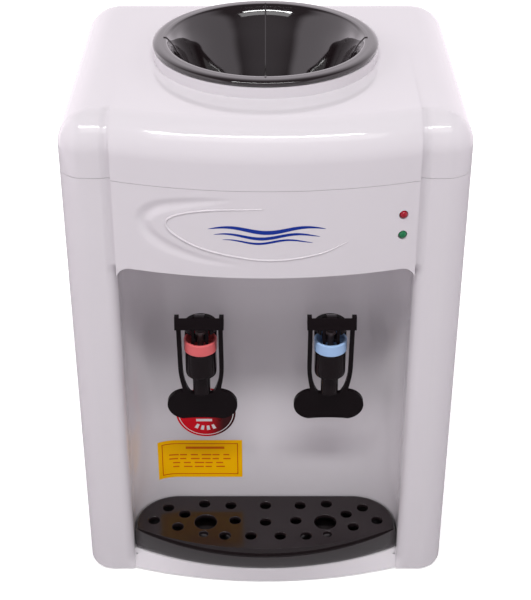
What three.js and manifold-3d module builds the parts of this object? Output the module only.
// Countertop water dispenser: bottle seat on top, two push taps over a lift-out drip tray,
// cold tank with a thermoelectric cooler and a heated hot tank inside.
// Millimetres, +Z up, front towards -Y. The origin is on the ground, under the middle of the outer box.

import * as THREE from 'three';
import { mergeVertices } from 'three/addons/utils/BufferGeometryUtils.js';
import Module from 'manifold-3d';

const wasm = await Module();
wasm.setup();

// ---------------------------------------------------------------- driving dimensions

const WIDTH = 290;
const BODY_DEPTH = 268;
const REAR_REACH = 8;             // how far the drain cap and the cord gland stand out behind
const BODY_HEIGHT = 400;
const SEAM_HEIGHT = 356.5;        // joint between the top cover and the panels below it
const FLOOR_GAP = 1.5;            // the shell stops just above the ground and stands on its feet
const WALL = 3;
const GAP = 0.3;                  // kept between pieces that touch

const FRONT = -(BODY_DEPTH + REAR_REACH) / 2;    // foremost point of the bowed front
const BACK = FRONT + BODY_DEPTH;
const HALF = WIDTH / 2;
const PILLAR_FACE = FRONT + 20;   // flat front of the side pillars
const FRONT_CORNER = 20;
const BACK_CORNER = 28;
const TOP_ROUND = 25;             // rounding between the top and the walls
const SPLIT = FRONT + 78;         // joint between the front panel and the rear housing

const BOW_HALF = 107.3;           // the bowed fascia is a little proud of the pillars
const BOW_SAGITTA = 16.7;
const PAD_RISE = 1.4;             // the fascia runs on over the top as a low pad
const PAD_ROUND = 26;

const NICHE_HALF = 107.5;
const NICHE_BACK = FRONT + 71;
const NICHE_CORNER = 35;
const NICHE_FLOOR = 13.5;
const NICHE_TOP = 288;
const NICHE_TOP_CORNER = 11;

const SEAT_Y = FRONT + 137;       // centre of the bottle seat, the collar and the cold tank
const COLLAR_RADIUS = 83.3;
const COLLAR_BORE = 78;
const COLLAR_TOP = 409.8;
const RIM_RADIUS = 83.9;
const RIM_TOP = 414.7;
const THROAT_END = 312;

const TRAY_HALF = 107;
const TRAY_SAGITTA = 26;
const TRAY_TOP = 33;
const TRAY_WALL = 2.2;
const TRAY_DIP = 6.7;             // the front wall dips in the middle, to get hold of the grille

const TAP_X = 49.3;
const TAP_Y = FRONT + 36;
const PIVOT_Y = -9.5;             // lever pivot, measured from the tap's own axis
const PIVOT_Z = 235.5;
const SHANK_Z = 196;

const FAN_Z = 258;                // height of the fan, the heat sink and the cooler block

// ---------------------------------------------------------------- materials

const plastic = (color, roughness) => new THREE.MeshStandardMaterial({ color, roughness, metalness: 0 });
const metal = (color, roughness) => new THREE.MeshStandardMaterial({ color, roughness, metalness: 1 });

const glossWhite = () => plastic(0xe9e6ec, 0.2);
const satinWhite = () => plastic(0xdedce2, 0.45);
const glossBlack = () => plastic(0x1b1719, 0.12);
const satinBlack = () => plastic(0x1e1a1c, 0.4);
const hotRed = () => plastic(0xe36b6b, 0.35);
const coldBlue = () => plastic(0x9dbde6, 0.35);
const rubber = () => plastic(0x2a2a2c, 0.85);
const silicone = () => plastic(0xd7dcdc, 0.4);
const foam = () => plastic(0xf4f4f2, 0.9);
const steel = () => metal(0xb9bcc0, 0.3);
const aluminium = () => metal(0xc9ccd0, 0.45);
const circuitGreen = () => plastic(0x1f5a38, 0.5);

// ---------------------------------------------------------------- solids and their cuts

function asSolid(geometry) {
  const bare = geometry.clone();
  bare.deleteAttribute('normal');
  bare.deleteAttribute('uv');
  const merged = mergeVertices(bare);
  const corners = merged.index.array;
  const kept = [];
  for (let i = 0; i < corners.length; i += 3) {
    const [a, b, c] = [corners[i], corners[i + 1], corners[i + 2]];
    if (a !== b && b !== c && c !== a) kept.push(a, b, c);
  }
  const vertProperties = new Float32Array(merged.attributes.position.array);
  return new wasm.Manifold(new wasm.Mesh({ numProp: 3, vertProperties, triVerts: new Uint32Array(kept) }));
}

function asGeometry(solid) {
  const mesh = solid.getMesh();
  const geometry = new THREE.BufferGeometry();
  geometry.setAttribute('position', new THREE.BufferAttribute(new Float32Array(mesh.vertProperties), 3));
  geometry.setIndex(new THREE.BufferAttribute(new Uint32Array(mesh.triVerts), 1));
  geometry.computeVertexNormals();
  return geometry;
}

const join = (...parts) => asGeometry(parts.map(asSolid).reduce((sum, part) => sum.add(part)));
const cut = (base, ...tools) =>
  asGeometry(tools.map(asSolid).reduce((rest, tool) => rest.subtract(tool), asSolid(base)));
const overlap = (first, second) => asGeometry(asSolid(first).intersect(asSolid(second)));

// ---------------------------------------------------------------- basic shapes

const degrees = THREE.MathUtils.degToRad;
const point = (x, y) => new THREE.Vector2(x, y);

function box(x0, x1, y0, y1, z0, z1) {
  const geometry = new THREE.BoxGeometry(x1 - x0, y1 - y0, z1 - z0);
  return geometry.translate((x0 + x1) / 2, (y0 + y1) / 2, (z0 + z1) / 2);
}

// Upright prism over an outline in X and Y.
function prism(outline, z0, z1) {
  const shape = outline instanceof THREE.Shape ? outline : new THREE.Shape(outline);
  const settings = { depth: z1 - z0, bevelEnabled: false, curveSegments: 6 };
  const geometry = new THREE.ExtrudeGeometry(shape, settings);
  return geometry.translate(0, 0, z0);
}

// Prism along Y over an outline in X and Z.
function prismY(outline, y0, y1) {
  return prism(outline, 0, y1 - y0).rotateX(Math.PI / 2).translate(0, y1, 0);
}

// Prism along X over an outline in Y and Z.
function prismX(outline, x0, x1) {
  const turn = new THREE.Matrix4().makeBasis(
    new THREE.Vector3(0, 1, 0), new THREE.Vector3(0, 0, 1), new THREE.Vector3(1, 0, 0));
  return prism(outline, 0, x1 - x0).applyMatrix4(turn).translate(x0, 0, 0);
}

function cylinder(radius, z0, z1, x = 0, y = 0, segments = 20) {
  const geometry = new THREE.CylinderGeometry(radius, radius, z1 - z0, segments).rotateX(Math.PI / 2);
  return geometry.translate(x, y, (z0 + z1) / 2);
}

function cylinderY(radius, y0, y1, x, z, segments = 20) {
  return new THREE.CylinderGeometry(radius, radius, y1 - y0, segments).translate(x, (y0 + y1) / 2, z);
}

function cylinderX(radius, x0, x1, y, z, segments = 16) {
  const geometry = new THREE.CylinderGeometry(radius, radius, x1 - x0, segments).rotateZ(Math.PI / 2);
  return geometry.translate((x0 + x1) / 2, y, z);
}

// Turned solid about the Z axis, from [radius, height] pairs that run up the outside.
function turned(profile, segments = 24) {
  const closed = profile[0][0] === 0 ? profile : [...profile, profile[0]];
  const points = closed.map(([radius, height]) => point(radius, height));
  return new THREE.LatheGeometry(points, segments).rotateX(Math.PI / 2);
}

const turnedY = (profile, segments) => turned(profile, segments).rotateX(-Math.PI / 2);
const tube = (outer, inner, z0, z1, segments = 24) =>
  turned([[inner, z0], [outer, z0], [outer, z1], [inner, z1]], segments);

// Hose of a round section along a smooth curve through the given places.
function hose(radius, places, steps, sides = 8) {
  const path = new THREE.CatmullRomCurve3(places.map(([x, y, z]) => new THREE.Vector3(x, y, z)));
  const section = [];
  for (let i = 0; i < sides; i += 1) {
    const angle = 2 * Math.PI * i / sides;
    section.push(point(radius * Math.cos(angle), radius * Math.sin(angle)));
  }
  const settings = { steps, bevelEnabled: false, extrudePath: path };
  return new THREE.ExtrudeGeometry(new THREE.Shape(section), settings);
}

// Solid skinned over level rings that have the same number of points, from the lowest up.
function loft(rings) {
  const count = rings[0].outline.length;
  const positions = rings.flatMap(ring => ring.outline.flatMap(p => [p.x, p.y, ring.z]));
  const index = [];
  for (let level = 0; level < rings.length - 1; level += 1) {
    for (let i = 0; i < count; i += 1) {
      const [a, b] = [level * count + i, level * count + (i + 1) % count];
      index.push(a, b, b + count, a, b + count, a + count);
    }
  }
  const lastLevel = (rings.length - 1) * count;
  for (const [a, b, c] of THREE.ShapeUtils.triangulateShape(rings[0].outline, [])) index.push(c, b, a);
  for (const [a, b, c] of THREE.ShapeUtils.triangulateShape(rings.at(-1).outline, [])) {
    index.push(a + lastLevel, b + lastLevel, c + lastLevel);
  }
  const geometry = new THREE.BufferGeometry();
  geometry.setAttribute('position', new THREE.Float32BufferAttribute(positions, 3));
  geometry.setIndex(index);
  return geometry;
}

// ---------------------------------------------------------------- outlines in plan

function quarter(cx, cy, radius, start, steps = 6) {
  return Array.from({ length: steps + 1 }, (_, i) => {
    const angle = degrees(start + 90 * i / steps);
    return point(cx + radius * Math.cos(angle), cy + radius * Math.sin(angle));
  });
}

// Outline of the shell without the bow, moved inwards by the inset.
function shellOutline(inset) {
  const x = HALF - inset;
  const [front, back] = [PILLAR_FACE + inset, BACK - inset];
  const smallest = 0.5;
  const frontRadius = Math.max(FRONT_CORNER - inset, smallest);
  const backRadius = Math.max(BACK_CORNER - inset, smallest);
  return [
    ...quarter(x - frontRadius, front + frontRadius, frontRadius, -90),
    ...quarter(x - backRadius, back - backRadius, backRadius, 0),
    ...quarter(-x + backRadius, back - backRadius, backRadius, 90),
    ...quarter(-x + frontRadius, front + frontRadius, frontRadius, 180),
  ];
}

// Distance that a shallow arc falls back from its foremost point, at a place x across.
function arcDrop(half, sagitta) {
  const radius = (half ** 2 + sagitta ** 2) / (2 * sagitta);
  return x => radius - Math.sqrt(radius ** 2 - x ** 2);
}

const bowDrop = arcDrop(BOW_HALF, BOW_SAGITTA);
const trayDrop = arcDrop(TRAY_HALF, TRAY_SAGITTA);

function frontArc(half, drop, foremost, steps = 18) {
  return Array.from({ length: steps + 1 }, (_, i) => {
    const x = half * (2 * i / steps - 1);
    return point(x, foremost + drop(x));
  });
}

const bowOutline = (inset, rear) => [
  ...frontArc(BOW_HALF - inset, bowDrop, FRONT + inset),
  point(BOW_HALF - inset, rear),
  point(-BOW_HALF + inset, rear),
];

// Outline of the low pad on the top: bowed in front and half an ellipse behind the bottle seat.
function padOutline(inset) {
  const rearReach = 92;
  const steps = 16;
  const behind = Array.from({ length: steps + 1 }, (_, i) => {
    const angle = Math.PI * i / steps;
    return point(BOW_HALF * Math.cos(angle), SEAT_Y + rearReach * Math.sin(angle));
  });
  return [...frontArc(BOW_HALF, bowDrop, FRONT + inset), ...behind];
}

// Niche in plan: straight sides, round rear corners, open towards the front.
function nicheOutline(outset, front = FRONT - 10) {
  const x = NICHE_HALF + outset;
  const back = NICHE_BACK + outset;
  const radius = NICHE_CORNER + outset;
  return [
    point(-x, front),
    point(x, front),
    ...quarter(x - radius, back - radius, radius, 0, 8),
    ...quarter(-x + radius, back - radius, radius, 90, 8),
  ];
}

// Niche seen from the front: an opening with small round upper corners.
function nicheOpening(outset, bottom) {
  const x = NICHE_HALF + outset;
  const top = NICHE_TOP + outset;
  const radius = NICHE_TOP_CORNER + outset;
  return [
    point(-x, bottom),
    point(x, bottom),
    ...quarter(x - radius, top - radius, radius, 0),
    ...quarter(-x + radius, top - radius, radius, 90),
  ];
}

// Drip tray in plan: it fills the niche and bows out to the front.
function trayOutline(inset) {
  const x = TRAY_HALF - inset;
  const back = NICHE_BACK - 0.4 - inset;
  const radius = NICHE_CORNER - inset;
  return [
    ...frontArc(x, trayDrop, FRONT + 0.3 + inset),
    ...quarter(x - radius, back - radius, radius, 0, 8),
    ...quarter(-x + radius, back - radius, radius, 90, 8),
  ];
}

// ---------------------------------------------------------------- shell

// Rings of a wall that turns over into the top with a round edge.
function roundedRings(outline, bottom, top, radius, inset, steps = 6) {
  const rings = [{ outline: outline(inset), z: bottom }];
  for (let i = 0; i <= steps; i += 1) {
    const angle = degrees(90 * i / steps);
    const drawnIn = inset + radius * (1 - Math.cos(angle));
    rings.push({ outline: outline(drawnIn), z: top - radius * (1 - Math.sin(angle)) });
  }
  return rings;
}

function topCover() {
  const bottom = SEAM_HEIGHT + GAP / 2;
  const skin = loft(roundedRings(shellOutline, bottom, BODY_HEIGHT, TOP_ROUND, 0));
  const pad = loft(roundedRings(padOutline, bottom, BODY_HEIGHT + PAD_RISE, PAD_ROUND, 0));
  const hollow = loft(
    roundedRings(shellOutline, bottom - 10, BODY_HEIGHT - WALL, TOP_ROUND - WALL, WALL));
  const padHollow = prism(bowOutline(WALL, PILLAR_FACE + WALL + 10), bottom - 10, BODY_HEIGHT - TOP_ROUND);
  const collar = cylinder(COLLAR_RADIUS, BODY_HEIGHT - WALL, COLLAR_TOP, 0, SEAT_Y, 40);
  const bore = cylinder(COLLAR_BORE, BODY_HEIGHT - 20, COLLAR_TOP + 10, 0, SEAT_Y, 40);
  return cut(join(cut(join(skin, pad), hollow, padHollow), collar), bore);
}

// Short front wall under the tray: the tray's arc above and the fascia's arc at the bottom.
function baseLip() {
  const depth = FRONT + 45;
  const ring = (drop, half, z) => ({
    outline: [...frontArc(half, drop, FRONT + 0.2), point(half, depth), point(-half, depth)],
    z,
  });
  return loft([ring(bowDrop, BOW_HALF, FLOOR_GAP), ring(trayDrop, TRAY_HALF, NICHE_FLOOR)]);
}

function frontPanel() {
  const top = SEAM_HEIGHT - GAP / 2;
  const behind = SPLIT - GAP / 2;
  const frontHalf = box(-HALF - 1, HALF + 1, FRONT - 1, behind, FLOOR_GAP, top);
  const fascia = prism(bowOutline(0, PILLAR_FACE + 15), NICHE_TOP - 20, top);
  const pillars = prism(shellOutline(0), FLOOR_GAP, top);
  const outside = overlap(join(pillars, fascia, baseLip()), frontHalf);
  const hollow = prism(shellOutline(WALL), 0, top + 1);
  const fasciaHollow = prism(bowOutline(WALL, PILLAR_FACE + 20), NICHE_TOP - 15, top + 1);
  const lipHollow = loft([
    { outline: [...frontArc(BOW_HALF - WALL, bowDrop, FRONT + WALL), point(100, FRONT + 45),
      point(-100, FRONT + 45)], z: 0 },
    { outline: [...frontArc(TRAY_HALF - WALL, trayDrop, FRONT + WALL), point(100, FRONT + 45),
      point(-100, FRONT + 45)], z: NICHE_FLOOR - WALL },
  ]);
  const liner = overlap(
    overlap(prism(nicheOutline(WALL), NICHE_FLOOR - WALL, NICHE_TOP + WALL),
      prismY(nicheOpening(WALL, NICHE_FLOOR - WALL), FRONT - 5, SPLIT)), outside);
  const niche = overlap(prism(nicheOutline(0), NICHE_FLOOR, NICHE_TOP + 1),
    prismY(nicheOpening(0, NICHE_FLOOR), FRONT - 15, SPLIT));
  const tapHoles = [-TAP_X, TAP_X].map(x => cylinderY(7.2, NICHE_BACK - 5, NICHE_BACK + 10, x, SHANK_Z, 24));
  const lensHoles = LENS_HEIGHTS.map(z => cylinderY(3.3, FRONT - 5, PILLAR_FACE + 15, LENS_X, z, 20));
  return cut(join(cut(outside, hollow, fasciaHollow, lipHollow), liner), niche, ...tapHoles, ...lensHoles);
}

const REAR_WALL = 2.5;
const VENT_HALF = 56;
const SWITCH_X = -98;
const SWITCH_Z = 322;
const GLAND_X = 112;
const GLAND_Z = 32;
const DRAIN_X = -60;
const DRAIN_Z = 34;

function rearHousing() {
  const top = SEAM_HEIGHT - GAP / 2;
  const rearHalf = box(-HALF - 1, HALF + 1, SPLIT + GAP / 2, BACK + 1, FLOOR_GAP, top);
  const outside = overlap(prism(shellOutline(0), FLOOR_GAP, top), rearHalf);
  const hollow = prism(shellOutline(REAR_WALL), 0, top + 1);
  const wallFrom = BACK - 10;
  const wallTo = BACK + 5;
  const vent = box(-VENT_HALF, VENT_HALF, wallFrom, wallTo, FAN_Z - VENT_HALF, FAN_Z + VENT_HALF);
  const switches = box(SWITCH_X - 20.3, SWITCH_X + 20.3, wallFrom, wallTo, SWITCH_Z - 13.3, SWITCH_Z + 13.3);
  const gland = cylinderY(7.3, wallFrom, wallTo, GLAND_X, GLAND_Z, 24);
  const drain = cylinderY(7.3, wallFrom, wallTo, DRAIN_X, DRAIN_Z, 24);
  return cut(outside, hollow, vent, switches, gland, drain);
}

// Louvred grille screwed on over the fan.
function rearGrille() {
  const edge = VENT_HALF + 5;
  const plate = box(-edge, edge, BACK + GAP, BACK + 2.8, FAN_Z - edge, FAN_Z + edge);
  const pitch = 9;
  const slots = [];
  for (let row = -5; row <= 5; row += 1) {
    const middle = FAN_Z + row * pitch;
    slots.push(box(-50, -2.5, BACK - 1, BACK + 4, middle - 2.5, middle + 2.5));
    slots.push(box(2.5, 50, BACK - 1, BACK + 4, middle - 2.5, middle + 2.5));
  }
  return cut(plate, ...slots);
}

const FOOT_HEIGHT = 5;
const BASE_THICKNESS = 2.4;

function basePlate() {
  const bottom = FOOT_HEIGHT + GAP;
  const plate = prism(shellOutline(WALL + GAP), bottom, bottom + BASE_THICKNESS);
  const slots = [];
  for (let row = 0; row < 6; row += 1) slots.push(box(-30, 30, 50 + row * 10, 54 + row * 10, 0, 20));
  return cut(plate, ...slots);
}

const foot = () => turned([[0, 0], [8.5, 0], [9.5, 1], [9.5, FOOT_HEIGHT], [0, FOOT_HEIGHT]], 24);

// ---------------------------------------------------------------- bottle seat

// Glossy funnel that the bottle's neck sits in, with a rolled lip on the collar.
function bottleSeat() {
  const lipUnder = COLLAR_TOP + GAP;
  const bowl = [[69, 410.3], [66.5, 402], [63, 391], [57, 377], [48, 362], [37, 350], [25, 341.5], [16, 337]];
  const outer = [[18.5, THROAT_END], [18.5, 335], [27, 339], [39, 347], [50.5, 359.5], [59.5, 375],
    [65.7, 389.8], [69.2, 401], [71, lipUnder - 2.5], [73.5, lipUnder]];
  const lip = [[RIM_RADIUS - 0.7, lipUnder], [RIM_RADIUS, lipUnder + 1], [RIM_RADIUS, lipUnder + 2.8],
    [RIM_RADIUS - 1.2, RIM_TOP - 0.5], [RIM_RADIUS - 3.4, RIM_TOP], [RIM_RADIUS - 7, RIM_TOP - 0.8],
    [73.5, RIM_TOP - 2.6], [70.5, 411.8]];
  return turned([...outer, ...lip, ...bowl, [16, THROAT_END]], 36).translate(0, SEAT_Y, 0);
}

const seatGasket = () => tube(24, 17, COLD_TOP + 3 + GAP, THROAT_END - GAP).translate(0, SEAT_Y, 0);

// ---------------------------------------------------------------- drip tray

function dripTray() {
  const bottom = NICHE_FLOOR + GAP;
  const outside = prism(trayOutline(0), bottom, TRAY_TOP);
  const basin = prism(trayOutline(TRAY_WALL), bottom + TRAY_WALL, TRAY_TOP + 1);
  const dipRadius = (TRAY_HALF ** 2 + TRAY_DIP ** 2) / (2 * TRAY_DIP);
  const dipOutline = [point(TRAY_HALF + 2, TRAY_TOP + 5), point(-TRAY_HALF - 2, TRAY_TOP + 5)];
  for (let i = 0; i <= 18; i += 1) {
    const x = TRAY_HALF * (i / 9 - 1);
    dipOutline.push(point(x, TRAY_TOP - TRAY_DIP + dipRadius - Math.sqrt(dipRadius ** 2 - x ** 2)));
  }
  const arcBand = (half, front, back) =>
    [...frontArc(half, trayDrop, front), point(half, back), point(-half, back)];
  const frontWall = cut(
    prism(arcBand(TRAY_HALF, FRONT - 3, FRONT + 40), 0, TRAY_TOP + 2),
    prism(arcBand(TRAY_HALF + 0.5, FRONT + 0.5 + TRAY_WALL, FRONT + 50), -1, TRAY_TOP + 3));
  const dip = overlap(prismY(dipOutline, FRONT - 5, FRONT + 35), frontWall);
  return cut(outside, basin, dip);
}

// Holes of the drip grille, one half of the pattern: [across, behind the front point].
const SMALL_HOLES = [
  [81, 54], [51, 59], [29, 57], [67, 46], [92, 38], [25, 38], [72, 30], [33, 19], [12, 19]];
const MIDDLE_HOLES = [57, 36];
const PIN_HOLE = [50.5, 21];

function dripGrille() {
  const inset = TRAY_WALL + 0.35;
  const plateBottom = TRAY_TOP - 2.6;
  const skirtBottom = TRAY_TOP - 8;
  const plate = prism(trayOutline(inset), skirtBottom, TRAY_TOP + 0.4);
  const under = prism(trayOutline(inset + 2.2), skirtBottom - 1, plateBottom);
  const hole = (x, behind, radius) => cylinder(radius, 0, TRAY_TOP + 10, x, FRONT + behind, 10);
  const holes = MIDDLE_HOLES.map(behind => hole(0, behind, 4.5));
  for (const side of [-1, 1]) {
    for (const [x, behind] of SMALL_HOLES) holes.push(hole(side * x, behind, 4.5));
    holes.push(hole(side * PIN_HOLE[0], PIN_HOLE[1], 3.5));
    holes.push(hole(side * TAP_X, TAP_Y - FRONT, 9));
  }
  return cut(plate, under, ...holes);
}

// ---------------------------------------------------------------- taps, about their own axis

const WALL_FRONT = NICHE_BACK - TAP_Y;
const WALL_BEHIND = WALL_FRONT + WALL;
const RING_BOTTOM = 204.9;
const RING_TOP = 214.5;
const BONNET_Y = 9;
const BONNET_TOP = 223.6;

// Barrel and nozzle, with a bonnet behind and over the ring that carries the lever's pin.
function tapBody() {
  const barrel = turned([[5, 165], [6.7, 165], [6.7, 181.5], [12, 183.5], [12, RING_BOTTOM - GAP],
    [8, RING_BOTTOM - GAP], [8, 191], [5, 189]], 16);
  const post = box(-3.5, 3.5, 5.5, 9.2, RING_BOTTOM - 3, BONNET_TOP - 1);
  const aboveRing = RING_TOP + 3;
  const bonnet = cut(
    turned([[0, 206], [12, 206], [12.5, 206.5], [12.5, BONNET_TOP - 1], [11.7, BONNET_TOP], [0, BONNET_TOP]])
      .translate(0, BONNET_Y, 0),
    cylinder(13, 200, aboveRing, 0, 0, 24),
    box(-7.2, 7.2, -6, 5.4, 200, 230));
  const lugSide = [point(5.6, 218), point(9.5, 218), point(9.5, 226), point(3, 233.5),
    point(-6, PIVOT_Z + 3.2), point(PIVOT_Y, PIVOT_Z + 3.2), point(PIVOT_Y, PIVOT_Z - 3.2),
    point(-4, 231), point(1.5, 227.5), point(5.6, 224.5)];
  const lug = join(prismX(lugSide, -3.8, 3.8), cylinderX(3.2, -3.8, 3.8, PIVOT_Y, PIVOT_Z));
  const shank = cylinderY(6.5, 9, WALL_BEHIND + 14, 0, SHANK_Z, 16);
  const flange = cylinderY(11, WALL_FRONT - 4.6, WALL_FRONT - 2.3, 0, SHANK_Z, 20);
  const bore = cylinderY(4, 2, WALL_BEHIND + 20, 0, SHANK_Z, 16);
  const pinHole = cylinderX(1.8, -20, 20, PIVOT_Y, PIVOT_Z, 16);
  return cut(join(barrel, post, bonnet, lug, shank, flange), bore, pinHole);
}

function tapRing() {
  const cup = turned([[2.9, RING_BOTTOM], [12.55, RING_BOTTOM], [12.55, RING_TOP], [10.2, RING_TOP],
    [10.2, RING_BOTTOM + 2.3], [2.9, RING_BOTTOM + 2.3]], 24);
  return cut(cup, box(-3.9, 3.9, 5.1, 9.6, RING_BOTTOM - 1, RING_TOP - 1));
}

const tapStem = () => turned([[0, 191.6], [6.6, 191.6], [7.4, 193.4], [2.4, 193.4],
  [2.4, 218.6], [3.8, 218.6], [3.8, 221], [0, 221]], 16);

function tapSpring() {
  const turns = 4;
  const [low, high] = [194.4, RING_BOTTOM - 1];
  const places = [];
  for (let i = 0; i <= turns * 8; i += 1) {
    const angle = 2 * Math.PI * i / 8;
    places.push([4.3 * Math.cos(angle), 4.3 * Math.sin(angle), low + (high - low) * i / (turns * 8)]);
  }
  return hose(0.55, places, turns * 9, 4);
}

const tapGasket = () => turnedY([[6.8, -2], [11, -2], [11, -0.3], [6.8, -0.3]], 20)
  .translate(0, WALL_FRONT, SHANK_Z);

function tapNut() {
  const hexagon = Array.from({ length: 6 }, (_, i) => {
    const angle = degrees(60 * i);
    return point(11.5 * Math.cos(angle), SHANK_Z + 11.5 * Math.sin(angle));
  });
  const from = WALL_BEHIND + GAP;
  return cut(prismY(hexagon, from, from + 6), cylinderY(6.8, from - 1, from + 7, 0, SHANK_Z, 24));
}

const tapPin = () => cylinderX(1.5, -17.6, 17.6, PIVOT_Y, PIVOT_Z, 16);

// Flat outline of the lever's two arms, in X and in height from the pivot.
function forkOutline() {
  const [outer, inner] = [17.4, 14];
  const fork = new THREE.Shape();
  fork.moveTo(outer, 0);
  fork.lineTo(inner, 0);
  fork.lineTo(inner, -47);
  fork.bezierCurveTo(inner, -66, 9, -79, 0, -79);
  fork.bezierCurveTo(-9, -79, -inner, -66, -inner, -47);
  fork.lineTo(-inner, 0);
  fork.lineTo(-outer, 0);
  fork.lineTo(-outer, -45);
  fork.bezierCurveTo(-outer, -60, -14.5, -66, -14.5, -76);
  fork.lineTo(-10, -90);
  fork.lineTo(10, -90);
  fork.lineTo(14.5, -76);
  fork.bezierCurveTo(14.5, -66, outer, -60, outer, -45);
  return fork;
}

// Kidney-shaped pad that a cup pushes back.
function paddle(thickness) {
  const lobes = [-1, 1].map(side => {
    const lobe = new THREE.Shape();
    lobe.absellipse(side * 13.2, -86.8, 14.1, 15.2, 0, 2 * Math.PI, false, 0);
    return prismY(lobe, 0, thickness);
  });
  const middle = prismY([point(-13.2, -100.6), point(13.2, -100.6), point(13.2, -80), point(-13.2, -80)],
    0, thickness);
  return join(middle, ...lobes);
}

function tapLever() {
  const lean = 9.5;
  const thickness = 3.4;
  const blade = join(prismY(forkOutline(), 0, thickness), paddle(thickness))
    .translate(0, -thickness / 2, 0).rotateX(degrees(lean)).translate(0, PIVOT_Y, PIVOT_Z);
  const bar = box(-18.3, 18.3, -15, -13, 230.8, 240.2);
  const shelf = cut(box(-18.3, 18.3, -14, -5.6, 230.8, 232.8), box(-4.2, 4.2, -13, 0, 228, 234));
  const reach = [-1, 1].flatMap(side => {
    const span = (near, far) => [Math.min(side * near, side * far), Math.max(side * near, side * far)];
    return [
      box(...span(15, 18.3), -15, -7, 230.8, 240.8),
      box(...span(4.2, 6.4), -7.6, -5.6, 211, 232),
      box(...span(2.8, 6.4), -7.6, 1, 215.6, 217.8),
    ];
  });
  const pinHole = cylinderX(1.8, -20, 20, PIVOT_Y, PIVOT_Z, 16);
  return cut(join(bar, shelf, ...reach, blade), pinHole);
}

// ---------------------------------------------------------------- cold tank and cooler

const COLD_RADIUS = 50;
const COLD_BOTTOM = 220;
const COLD_TOP = 303;
const FOAM_THICKNESS = 12;
const COOLER_HALF = 20;

function coldTank() {
  const shell = turned([[0, COLD_BOTTOM], [COLD_RADIUS, COLD_BOTTOM], [COLD_RADIUS, COLD_TOP],
    [COLD_RADIUS - 2.5, COLD_TOP], [COLD_RADIUS - 2.5, COLD_BOTTOM + 2.5], [0, COLD_BOTTOM + 2.5]]);
  const outlet = cylinder(4, COLD_BOTTOM - 22, COLD_BOTTOM + 1, 22, 0, 16);
  const outletBore = cylinder(2.5, COLD_BOTTOM - 30, COLD_BOTTOM + 10, 22, 0, 12);
  const feed = cylinder(4, COLD_BOTTOM - 22, COLD_BOTTOM + 1, 0, 14, 16);
  const feedBore = cylinder(2.5, COLD_BOTTOM - 30, COLD_BOTTOM + 10, 0, 14, 12);
  return cut(join(shell, outlet, feed), outletBore, feedBore).translate(0, SEAT_Y, 0);
}

const coldTankLid = () => tube(COLD_RADIUS + 3, 19.5, COLD_TOP + GAP, COLD_TOP + 3).translate(0, SEAT_Y, 0);

// Two-part foam jacket in one piece, open at the top and cut out for the cooler block.
function coldTankFoam() {
  const [inner, outer] = [COLD_RADIUS + 0.5, COLD_RADIUS + FOAM_THICKNESS];
  const bottom = COLD_BOTTOM - FOAM_THICKNESS;
  const jacket = turned([[0, bottom], [outer, bottom], [outer, COLD_TOP - 2], [inner, COLD_TOP - 2],
    [inner, COLD_BOTTOM - GAP], [0, COLD_BOTTOM - GAP]]);
  const pipes = [[22, 0], [0, 14]].map(([x, y]) => cylinder(4.5, bottom - 5, COLD_BOTTOM + 5, x, y, 16));
  const side = COOLER_HALF + 0.5;
  return cut(jacket, ...pipes, box(-side, side, 30, 80, FAN_Z - side, FAN_Z + side)).translate(0, SEAT_Y, 0);
}

const BLOCK_FRONT = SEAT_Y + COLD_RADIUS - 3.5;
const BLOCK_BACK = SEAT_Y + COLD_RADIUS + FOAM_THICKNESS + 3;

// Aluminium block shaped to the tank's round wall.
function coolerBlock() {
  const blank = box(-COOLER_HALF, COOLER_HALF, BLOCK_FRONT, BLOCK_BACK,
    FAN_Z - COOLER_HALF, FAN_Z + COOLER_HALF);
  return cut(blank, cylinder(COLD_RADIUS + GAP, 200, 300, 0, SEAT_Y, 64));
}

const MODULE_BACK = BLOCK_BACK + GAP + 4;
const SINK_FRONT = MODULE_BACK + GAP;
const SINK_BACK = SINK_FRONT + 30;
const FAN_FRONT = SINK_BACK + GAP;
const FAN_BACK = FAN_FRONT + 20;

const coolerModule = () => box(-COOLER_HALF, COOLER_HALF, BLOCK_BACK + GAP, MODULE_BACK,
  FAN_Z - COOLER_HALF, FAN_Z + COOLER_HALF);

function heatSink() {
  const half = 46;
  const plate = box(-half, half, SINK_FRONT, SINK_FRONT + 5, FAN_Z - half, FAN_Z + half);
  const finCount = 14;
  const pitch = (2 * half - 1.6) / (finCount - 1);
  const fins = Array.from({ length: finCount }, (_, i) => {
    const x = -half + i * pitch;
    return box(x, x + 1.6, SINK_FRONT + 4, SINK_BACK, FAN_Z - half, FAN_Z + half);
  });
  return join(plate, ...fins);
}

function fanFrame() {
  const half = 46;
  const outside = box(-half, half, FAN_FRONT, FAN_BACK, FAN_Z - half, FAN_Z + half);
  const bore = cylinderY(42, FAN_FRONT - 1, FAN_BACK + 1, 0, FAN_Z, 32);
  const hub = cylinderY(14, FAN_BACK - 4, FAN_BACK, 0, FAN_Z, 24);
  const spokes = [box(-44, 44, FAN_BACK - 4, FAN_BACK, FAN_Z - 2, FAN_Z + 2),
    box(-2, 2, FAN_BACK - 4, FAN_BACK, FAN_Z - 44, FAN_Z + 44)];
  return join(cut(outside, bore), hub, ...spokes);
}

// Seven pitched blades on a hub.
function fanRotor() {
  const hub = cylinderY(13, FAN_FRONT + 1.5, FAN_BACK - 5, 0, 0, 24);
  const blades = Array.from({ length: 7 }, (_, i) =>
    new THREE.BoxGeometry(1.6, 15, 29).rotateZ(degrees(38)).translate(0, 0, 25.5).rotateY(2 * Math.PI * i / 7)
      .translate(0, (FAN_FRONT + FAN_BACK) / 2 - 1.8, 0));
  return join(hub, ...blades).translate(0, 0, FAN_Z);
}

// ---------------------------------------------------------------- hot tank

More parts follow.
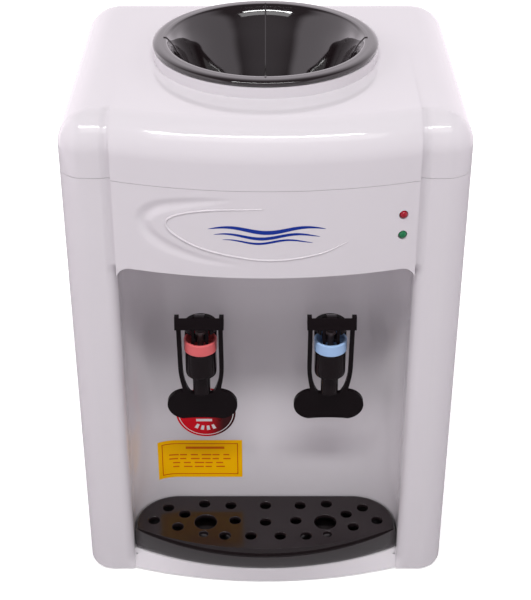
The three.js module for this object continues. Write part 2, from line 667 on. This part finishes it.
const HOT_Y = 20;
const HOT_RADIUS = 42;
const HOT_BOTTOM = 62;
const HOT_TOP = 150;

function hotTank() {
  const shell = turned([[0, HOT_BOTTOM], [HOT_RADIUS, HOT_BOTTOM], [HOT_RADIUS, HOT_TOP],
    [HOT_RADIUS - 1.5, HOT_TOP], [HOT_RADIUS - 1.5, HOT_BOTTOM + 1.5], [0, HOT_BOTTOM + 1.5]]);
  const drain = cylinder(5, HOT_BOTTOM - 14, HOT_BOTTOM + 1, 0, 0, 16);
  const drainBore = cylinder(3.5, HOT_BOTTOM - 20, HOT_BOTTOM + 5, 0, 0, 12);
  return cut(join(shell, drain), drainBore).translate(0, HOT_Y, 0);
}

function hotTankLid() {
  const plate = cylinder(HOT_RADIUS + 3, HOT_TOP + GAP, HOT_TOP + 2.3, 0, 0, 28);
  const stub = (x, y) => cylinder(4, HOT_TOP + 1, HOT_TOP + 14, x, y, 16);
  const bore = (x, y) => cylinder(2.5, HOT_TOP - 5, HOT_TOP + 20, x, y, 12);
  return cut(join(plate, stub(-22, -15), stub(0, 12)), bore(-22, -15), bore(0, 12)).translate(0, HOT_Y, 0);
}

const bandHeater = () => tube(HOT_RADIUS + 2.3, HOT_RADIUS + GAP, 78, 118).translate(0, HOT_Y, 0);

// Disc thermostat clipped to the tank's side, facing +X.
function thermostat() {
  const cap = cylinderX(8, 0, 6, 0, 0, 24);
  const terminals = [box(6, 12, -5, -4, -2, 2), box(6, 12, 4, 5, -2, 2)];
  return join(cap, box(0, 1, -14, 14, -4, 4), ...terminals);
}

// Sheet steel stand: a low shelf for the hot tank and a high frame for the cold tank.
function tankBracket() {
  const bottom = FOOT_HEIGHT + GAP + BASE_THICKNESS + GAP;
  const [side, front, back] = [67, -30, 50];
  const frameTop = COLD_BOTTOM - FOAM_THICKNESS - GAP;
  const lowShelf = box(-side, side, front, back, HOT_BOTTOM - 2.3, HOT_BOTTOM - GAP);
  const highFrame = cut(box(-side, side, front, back, frameTop - 2.5, frameTop),
    box(-34, 34, front + 12, back - 12, 100, 300));
  const walls = [-1, 1].flatMap(sign => [
    box(sign * side - 1, sign * side + 1, front, back, bottom, frameTop),
    box(sign * (side + 7) - 8, sign * (side + 7) + 8, front, back, bottom, bottom + 2),
  ]);
  return cut(join(lowShelf, highFrame, ...walls), cylinder(6, 40, 80, 0, HOT_Y));
}

// ---------------------------------------------------------------- electrics

const LENS_X = 96.5;
const LENS_HEIGHTS = [331.7, 315.8];
const BOARD_X = 100;
const ROCKER_TILT = 7;
const ROCKER_Y = BACK - 4;

function powerBoard() {
  const bottom = 30;
  const board = box(BOARD_X, BOARD_X + 1.6, 20, 100, bottom, bottom + 70);
  const transformer = box(BOARD_X - 26, BOARD_X + 0.5, 28, 56, bottom + 8, bottom + 38);
  const capacitor = cylinderX(6, BOARD_X - 24, BOARD_X + 0.5, 74, bottom + 20, 16);
  const relay = box(BOARD_X - 16, BOARD_X + 0.5, 66, 84, bottom + 44, bottom + 60);
  return join(board, transformer, capacitor, relay);
}

function boardStand() {
  const bottom = FOOT_HEIGHT + GAP + BASE_THICKNESS + GAP;
  const wall = box(BOARD_X + 2, BOARD_X + 4, 16, 104, bottom, 104);
  return join(wall, box(BOARD_X + 2, BOARD_X + 22, 16, 104, bottom, bottom + 2));
}

const indicatorBoard = () => box(LENS_X - 10, LENS_X + 6, PILLAR_FACE + 9, PILLAR_FACE + 10.6, 302, 346);

const LENS_REAR = PILLAR_FACE + 9 - GAP;

// Round lens that shows through the fascia, with its flat rear face on the board.
function lens() {
  const length = LENS_REAR - (FRONT + bowDrop(LENS_X)) + 1.6;
  return turnedY([[0, -length], [1.8, -length + 0.2], [2.9, -length + 1.4], [2.9, 0], [0, 0]], 16);
}

function switchFrame() {
  const flange = box(-23, 23, GAP, 2.3, -16, 16);
  const body = box(-20, 20, -14, 1, -13, 13);
  const wells = [-10, 10].map(x => box(x - 8.2, x + 8.2, -11, 5, -11.2, 11.2));
  return cut(join(flange, body), ...wells).translate(SWITCH_X, BACK, SWITCH_Z);
}

// Rocker about its hinge line, tilted to its off position.
function rocker() {
  const side = [point(0, -9.8), point(6, -9.8), point(4.4, 0), point(6, 9.8), point(0, 9.8)];
  return join(prismX(side, -7.8, 7.8), cylinderX(3, -7.8, 7.8, 0, 0)).rotateX(degrees(-ROCKER_TILT));
}

function cordGland() {
  const profile = [[3.5, -8], [7, -8], [7, GAP], [11, GAP], [11, 3], [7.5, REAR_REACH], [3.5, REAR_REACH]];
  return turnedY(profile, 16).translate(GLAND_X, BACK, GLAND_Z);
}

// ---------------------------------------------------------------- drain and hoses

function drainElbow() {
  const body = turnedY([[4, -22], [7, -22], [7, GAP], [7, 2], [4, 2]], 24);
  return body.translate(DRAIN_X, BACK, DRAIN_Z);
}

function drainCap() {
  const grip = turnedY([[0, 2.3], [12, 2.3], [12.5, 3], [12.5, REAR_REACH - 0.6], [11.8, REAR_REACH],
    [0, REAR_REACH]], 24);
  const plug = cylinderY(3.6, -8, 3, 0, 0, 20);
  return join(grip, plug).translate(DRAIN_X, BACK, DRAIN_Z);
}

const HOSE_RADIUS = 5;
const TAP_END = TAP_Y + WALL_BEHIND + 14 + GAP;
const COLD_OUTLET = COLD_BOTTOM - 22 - GAP;
const HOT_INLET = HOT_TOP + 14 + GAP;
const DRAIN_END = BACK - 22 - GAP;

const coldHose = () => hose(HOSE_RADIUS, [[22, SEAT_Y, COLD_OUTLET], [22, SEAT_Y, COLD_OUTLET - 8],
  [36, SEAT_Y - 14, 176], [TAP_X, TAP_END + 18, 188], [TAP_X, TAP_END + 7, SHANK_Z],
  [TAP_X, TAP_END, SHANK_Z]], 16);

const hotHose = () => hose(HOSE_RADIUS, [[-22, HOT_Y - 15, HOT_INLET], [-22, HOT_Y - 15, HOT_INLET + 8],
  [-36, HOT_Y - 30, 188], [-TAP_X, TAP_END + 12, SHANK_Z], [-TAP_X, TAP_END, SHANK_Z]], 14);

const feedHose = () => hose(HOSE_RADIUS, [[0, SEAT_Y + 14, COLD_OUTLET], [0, SEAT_Y + 14, COLD_OUTLET - 8],
  [0, HOT_Y + 12, HOT_INLET + 8], [0, HOT_Y + 12, HOT_INLET]], 8);

const drainHose = () => hose(6, [[0, HOT_Y, HOT_BOTTOM - 14 - GAP], [0, HOT_Y, HOT_BOTTOM - 22],
  [-14, HOT_Y + 24, 29], [-50, BACK - 50, 31], [DRAIN_X, DRAIN_END - 8, DRAIN_Z],
  [DRAIN_X, DRAIN_END, DRAIN_Z]], 18);

// ---------------------------------------------------------------- stickers on the niche's rear wall

const LABEL_THICKNESS = 0.4;
const labelBack = NICHE_BACK - GAP;

const roundLabel = () => cylinderY(24.3, labelBack - LABEL_THICKNESS, labelBack, -48.6, 119.3, 36);
const noticeLabel = () => box(-70, -19.3, labelBack - LABEL_THICKNESS, labelBack, 52.5, 91);

// ---------------------------------------------------------------- assembly

function piece(name, geometry, material, x = 0, y = 0, z = 0) {
  const mesh = new THREE.Mesh(geometry, material);
  mesh.name = name;
  mesh.position.set(x, y, z);
  return mesh;
}

function shellPieces() {
  const footX = HALF - 32;
  const feet = [
    ['foot_front_left', -footX, PILLAR_FACE + 26], ['foot_front_right', footX, PILLAR_FACE + 26],
    ['foot_rear_left', -footX, BACK - 32], ['foot_rear_right', footX, BACK - 32],
  ].map(([name, x, y]) => piece(name, foot(), rubber(), x, y));
  return [
    piece('front_panel', frontPanel(), glossWhite()),
    piece('top_cover', topCover(), glossWhite()),
    piece('rear_housing', rearHousing(), satinWhite()),
    piece('rear_grille', rearGrille(), satinBlack()),
    piece('base_plate', basePlate(), steel()),
    piece('round_label', roundLabel(), plastic(0xb01018, 0.3)),
    piece('notice_label', noticeLabel(), plastic(0xf2a818, 0.3)),
    ...feet,
  ];
}

function tapPieces(kind, x, ringMaterial) {
  const tap = new THREE.Group();
  tap.position.set(x, TAP_Y, 0);
  tap.add(
    piece(`${kind}_tap_body`, tapBody(), glossBlack()),
    piece(`${kind}_tap_ring`, tapRing(), ringMaterial),
    piece(`${kind}_tap_stem`, tapStem(), silicone()),
    piece(`${kind}_tap_spring`, tapSpring(), steel()),
    piece(`${kind}_tap_gasket`, tapGasket(), rubber()),
    piece(`${kind}_tap_nut`, tapNut(), satinBlack()),
    piece(`${kind}_tap_pin`, tapPin(), steel()),
    piece(`${kind}_tap_lever`, tapLever(), satinBlack()),
  );
  return tap;
}

function coolingPieces() {
  return [
    piece('cold_tank', coldTank(), steel()),
    piece('cold_tank_lid', coldTankLid(), satinWhite()),
    piece('cold_tank_foam', coldTankFoam(), foam()),
    piece('cooler_block', coolerBlock(), aluminium()),
    piece('cooler_module', coolerModule(), satinWhite()),
    piece('heat_sink', heatSink(), aluminium()),
    piece('fan_frame', fanFrame(), satinBlack()),
    piece('fan_rotor', fanRotor(), satinBlack()),
  ];
}

function heatingPieces() {
  const side = HOT_RADIUS + GAP;
  return [
    piece('hot_tank', hotTank(), steel()),
    piece('hot_tank_lid', hotTankLid(), steel()),
    piece('band_heater', bandHeater(), metal(0x8d8f92, 0.5)),
    piece('control_thermostat', thermostat(), satinBlack(), side, HOT_Y, 133),
    piece('limit_thermostat', thermostat().rotateZ(Math.PI), satinBlack(), -side, HOT_Y, 133),
    piece('tank_bracket', tankBracket(), steel()),
  ];
}

function electricPieces() {
  return [
    piece('power_board', powerBoard(), circuitGreen()),
    piece('board_stand', boardStand(), steel()),
    piece('indicator_board', indicatorBoard(), circuitGreen()),
    piece('hot_lens', lens(), plastic(0xc0202c, 0.2), LENS_X, LENS_REAR, LENS_HEIGHTS[0]),
    piece('cold_lens', lens(), plastic(0x0f8a3c, 0.2), LENS_X, LENS_REAR, LENS_HEIGHTS[1]),
    piece('switch_frame', switchFrame(), satinBlack()),
    piece('hot_rocker', rocker(), plastic(0xb3202a, 0.35), SWITCH_X - 10, ROCKER_Y, SWITCH_Z),
    piece('cold_rocker', rocker(), plastic(0x1f7a3a, 0.35), SWITCH_X + 10, ROCKER_Y, SWITCH_Z),
    piece('cord_gland', cordGland(), satinBlack()),
  ];
}

function waterPieces() {
  return [
    piece('bottle_seat', bottleSeat(), glossBlack()),
    piece('seat_gasket', seatGasket(), silicone()),
    piece('drip_tray', dripTray(), glossBlack()),
    piece('drip_grille', dripGrille(), glossBlack()),
    piece('cold_hose', coldHose(), silicone()),
    piece('hot_hose', hotHose(), silicone()),
    piece('feed_hose', feedHose(), silicone()),
    piece('drain_hose', drainHose(), silicone()),
    piece('drain_elbow', drainElbow(), satinWhite()),
    piece('drain_cap', drainCap(), satinWhite()),
  ];
}

const dispenser = new THREE.Group();
dispenser.add(
  ...shellPieces(),
  tapPieces('hot', -TAP_X, hotRed()),
  tapPieces('cold', TAP_X, coldBlue()),
  ...coolingPieces(),
  ...heatingPieces(),
  ...electricPieces(),
  ...waterPieces(),
);

export default dispenser;
